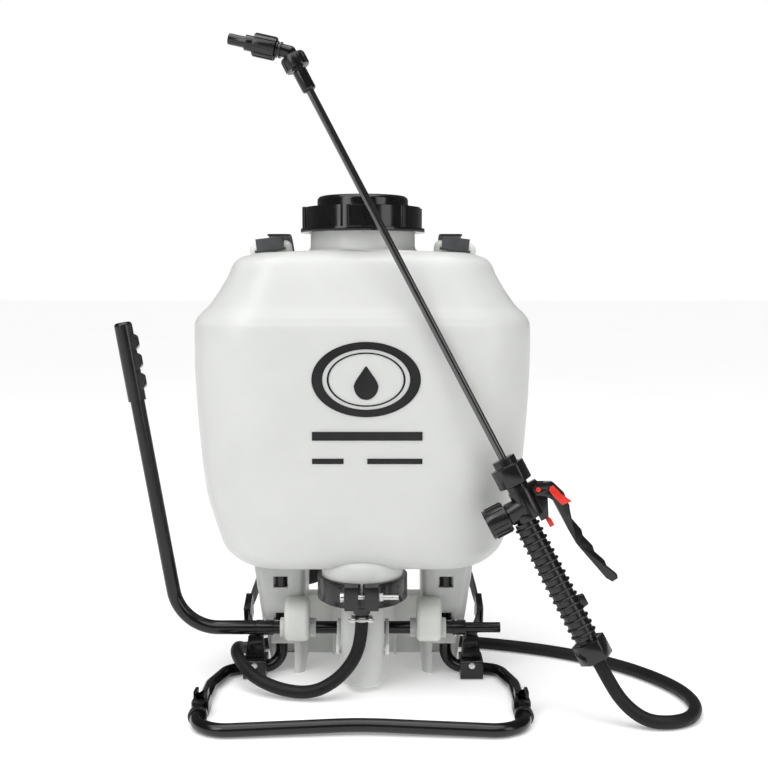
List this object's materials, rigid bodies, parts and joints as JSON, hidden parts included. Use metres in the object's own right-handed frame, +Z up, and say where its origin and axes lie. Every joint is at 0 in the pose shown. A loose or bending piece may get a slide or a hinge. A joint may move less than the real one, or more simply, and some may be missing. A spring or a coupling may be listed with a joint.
{
  "type": "backpack sprayer",
  "caption": "Manual piston-pump backpack sprayer: translucent tank with screw cap, tube frame, side pump lever, hose, shut-off gun and lance.",
  "frame": {"origin": "on the floor, under the middle of the sprayer's box without the hose", "axes": "+Z up, +Y towards the wearer's back, +X to the right when facing the printed side (the lever is on -X)"},
  "size_m": [0.6146, 0.3012, 0.6852],
  "materials": {
    "natural_poly": "translucent natural polyethylene, satin",
    "black_gloss": "moulded black, glossy",
    "black_satin": "moulded black, satin",
    "black_steel": "black powder coat on steel tube",
    "hose_rubber": "matte black hose",
    "zinc_steel": "zinc plated",
    "red_plastic": "moulded red",
    "grey_plastic": "moulded dark grey",
    "webbing": "woven black webbing",
    "pad_fabric": "black pad cloth",
    "seal_rubber": "black seal rubber"
  },
  "bodies": {
    "root": {"tank_shell": "natural_poly", "base_skirt": "natural_poly", "left_bearing_block": "natural_poly", "right_bearing_block": "natural_poly", "bearing_bushes": "natural_poly", "piston_tube": "natural_poly", "filler_strainer": "natural_poly", "pressure_chamber": "natural_poly", "inlet_screen": "natural_poly", "pump_head": "black_satin", "band_clamp": "black_satin", "outlet_barb": "black_satin", "left_strap_anchor": "black_satin", "right_strap_anchor": "black_satin", "wand_clips": "black_satin", "strap_buckles": "black_satin", "gun_body": "black_satin", "grip_shell": "black_satin", "frame_tube": "black_steel", "hose": "hose_rubber", "clamp_bolt": "zinc_steel", "clamp_nut": "zinc_steel", "hose_clamp": "zinc_steel", "anchor_screws": "zinc_steel", "valve_spring": "zinc_steel", "trigger_pin": "red_plastic", "trigger_catch": "red_plastic", "strap_clips": "grey_plastic", "upper_webbing": "webbing", "lower_webbing": "webbing", "left_shoulder_pad": "pad_fabric", "right_shoulder_pad": "pad_fabric", "pump_head_seal": "seal_rubber", "piston_seal": "seal_rubber"},
    "lever": {"pump_shaft": "black_steel", "crank_arms": "natural_poly", "left_shaft_adapter": "black_steel", "right_shaft_adapter": "black_steel", "shaft_stub": "black_steel", "lever_pins": "zinc_steel", "lever_tube": "black_steel", "lever_grip": "black_satin"},
    "cylinder": {"pump_cylinder": "natural_poly", "trunnion_pins": "zinc_steel"},
    "gasket": {"cap_gasket": "seal_rubber"},
    "cap": {"filler_cap": "black_gloss"},
    "trigger": {"trigger_lever": "black_satin", "lock_pin": "red_plastic"},
    "lock": {"trigger_lock": "red_plastic"},
    "stem": {"valve_stem": "black_satin"},
    "lance": {"lance_tube": "black_satin", "lance_ferrule": "black_gloss"},
    "elbow_body": {"elbow": "black_gloss"},
    "elbow_collar": {"elbow_nut": "black_satin"},
    "nozzle_collar": {"nozzle_cap": "black_satin"},
    "nozzle": {"nozzle_tip": "black_gloss"},
    "lance_collar": {"wand_nut": "black_satin"},
    "hose_collar": {"hose_nut": "black_satin"},
    "valve_knob": {"valve_cap": "black_satin"}
  },
  "joints": [
    {"name": "lever_swing", "type": "hinge", "parent": "root", "child": "lever", "pos_m": [0.00696, 0.02877, 0.0565], "axis": [1, 0, 0], "range_deg": [-40, 0]},
    {"name": "cylinder_stroke", "type": "slide", "parent": "root", "child": "cylinder", "axis": [0, 0, 1], "range_m": [0, 0.0232]},
    {"name": "cap_lift", "type": "slide", "parent": "root", "child": "gasket", "axis": [0, 0, 1], "range_m": [0, 0.09]},
    {"name": "cap_turn", "type": "hinge", "parent": "gasket", "child": "cap", "pos_m": [0.00696, 0.04477, 0.5], "axis": [0, 0, 1], "continuous": true},
    {"name": "trigger_pull", "type": "hinge", "parent": "root", "child": "trigger", "pos_m": [0.18245, -0.08242, 0.23123], "axis": [0.0451, 0.9953, -0.0858], "range_deg": [0, 12], "stiffness_Nm_per_rad": 1.2, "springref_deg": -20.05},
    {"name": "valve_stem_push", "type": "slide", "parent": "root", "child": "stem", "axis": [-0.8851, 0, -0.4655], "range_m": [0, 0.0023]},
    {"name": "trigger_lock_flip", "type": "hinge", "parent": "trigger", "child": "lock", "pos_m": [0.1971, -0.08308, 0.23129], "axis": [0.0451, 0.9953, -0.0858], "range_deg": [0, 30]},
    {"name": "wand_swivel", "type": "hinge", "parent": "root", "child": "lance", "pos_m": [0.15686, -0.08012, 0.24443], "axis": [-0.4633, 0.0969, 0.8809], "continuous": true},
    {"name": "elbow_swivel", "type": "hinge", "parent": "lance", "child": "elbow_body", "pos_m": [-0.06459, -0.0338, 0.66549], "axis": [-0.4633, 0.0969, 0.8809], "continuous": true},
    {"name": "elbow_nut_turn", "type": "hinge", "parent": "elbow_body", "child": "elbow_collar", "pos_m": [-0.05903, -0.03497, 0.65492], "axis": [-0.4633, 0.0969, 0.8809], "continuous": true},
    {"name": "nozzle_cap_turn", "type": "hinge", "parent": "elbow_body", "child": "nozzle_collar", "pos_m": [-0.06459, -0.0338, 0.66549], "axis": [-0.9727, 0.0633, 0.2232], "continuous": true},
    {"name": "nozzle_tip_turn", "type": "hinge", "parent": "nozzle_collar", "child": "nozzle", "pos_m": [-0.06459, -0.0338, 0.66549], "axis": [-0.9727, 0.0633, 0.2232], "continuous": true},
    {"name": "wand_nut_turn", "type": "hinge", "parent": "root", "child": "lance_collar", "pos_m": [0.15686, -0.08012, 0.24443], "axis": [-0.4633, 0.0969, 0.8809], "continuous": true},
    {"name": "hose_nut_turn", "type": "hinge", "parent": "root", "child": "hose_collar", "pos_m": [0.23648, -0.09853, 0.07264], "axis": [-0.4633, 0.0969, 0.8809], "continuous": true},
    {"name": "valve_cap_turn", "type": "hinge", "parent": "root", "child": "valve_knob", "pos_m": [0.14606, -0.08341, 0.20051], "axis": [-0.8851, 0, -0.4655], "continuous": true}
  ],
  "couplings": [
    {"joint": "cylinder_stroke", "follows": "lever_swing", "m_per_rad": -0.032845},
    {"joint": "valve_stem_push", "follows": "trigger_pull", "m_per_rad": 0.0103}
  ]
}
